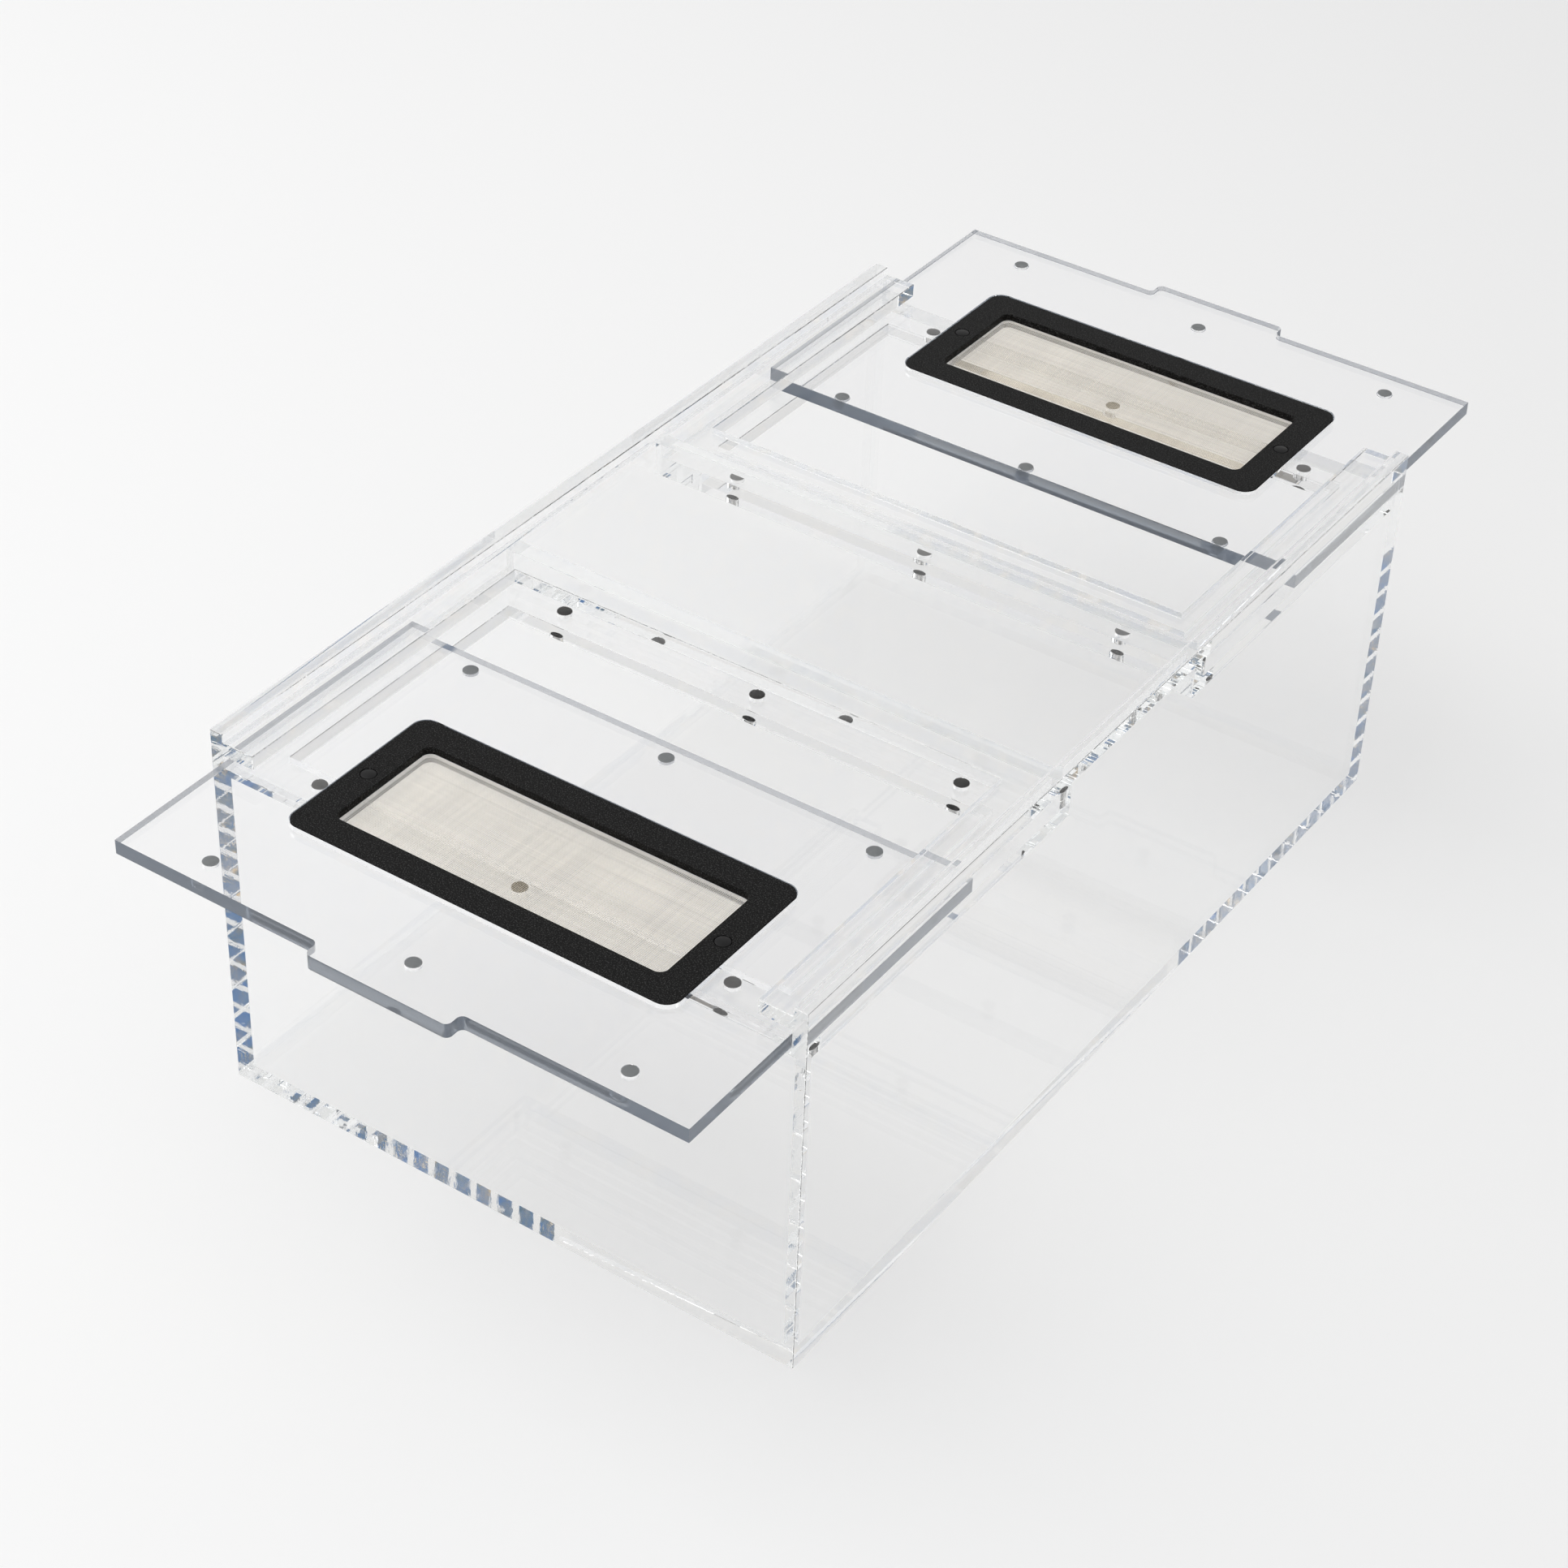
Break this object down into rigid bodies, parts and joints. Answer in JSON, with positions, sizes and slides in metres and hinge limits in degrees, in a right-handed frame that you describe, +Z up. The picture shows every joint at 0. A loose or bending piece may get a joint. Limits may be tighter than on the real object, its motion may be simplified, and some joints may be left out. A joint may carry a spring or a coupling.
{
  "type": "vented clear plastic box with sliding lids",
  "caption": "Clear sheet-plastic box whose sliding lids latch by magnets beside a fixed centre panel, each lid with a lift-out framed wire-mesh vent.",
  "frame": {"origin": "centre of the box's underside", "axes": "+X across the box to the right, +Y along the box from the front lid to the back lid, +Z up"},
  "size_m": [0.215, 0.4755, 0.137],
  "materials": {
    "clear_acrylic": "polished cast acrylic sheet, saw-cut edges",
    "lid_acrylic": "polished clear sheet with slate-grey edges",
    "black_plastic": "fine-grained matte black",
    "steel_mesh": "plain-woven stainless wire cloth",
    "magnet_nickel": "nickel-plated",
    "magnet_black": "black, smooth"
  },
  "bodies": {
    "enclosure": {"base_panel": "clear_acrylic", "left_wall": "clear_acrylic", "right_wall": "clear_acrylic", "centre_panel": "clear_acrylic", "front_wall": "clear_acrylic", "front_ledge": "clear_acrylic", "front_cross_bar": "clear_acrylic", "front_stop_strip": "clear_acrylic", "front_left_ledge": "clear_acrylic", "front_left_guide": "clear_acrylic", "front_right_ledge": "clear_acrylic", "front_right_guide": "clear_acrylic", "back_wall": "clear_acrylic", "back_ledge": "clear_acrylic", "back_cross_bar": "clear_acrylic", "back_stop_strip": "clear_acrylic", "back_left_ledge": "clear_acrylic", "back_left_guide": "clear_acrylic", "back_right_ledge": "clear_acrylic", "back_right_guide": "clear_acrylic", "front_ledge_magnets": "magnet_nickel", "front_bar_magnets": "magnet_nickel", "back_ledge_magnets": "magnet_nickel", "back_bar_magnets": "magnet_nickel"},
    "front_lid": {"front_lid": "lid_acrylic", "front_lid_outer_magnets": "magnet_nickel", "front_lid_inner_magnets": "magnet_nickel"},
    "front_vent": {"front_vent_frame": "black_plastic", "front_vent_mesh": "steel_mesh", "front_vent_magnets": "magnet_black"},
    "back_lid": {"back_lid": "lid_acrylic", "back_lid_outer_magnets": "magnet_nickel", "back_lid_inner_magnets": "magnet_nickel"},
    "back_vent": {"back_vent_frame": "black_plastic", "back_vent_mesh": "steel_mesh", "back_vent_magnets": "magnet_black"}
  },
  "joints": [
    {"name": "front_lid_slide", "type": "slide", "parent": "enclosure", "child": "front_lid", "axis": [0, -1, 0], "range_m": [-0.0475, 0.0765]},
    {"name": "back_lid_slide", "type": "slide", "parent": "enclosure", "child": "back_lid", "axis": [0, 1, 0], "range_m": [-0.06, 0.064]},
    {"name": "front_vent_lift", "type": "slide", "parent": "front_lid", "child": "front_vent", "axis": [0, 0, 1], "range_m": [0, 0.03]},
    {"name": "back_vent_lift", "type": "slide", "parent": "back_lid", "child": "back_vent", "axis": [0, 0, 1], "range_m": [0, 0.03]}
  ]
}
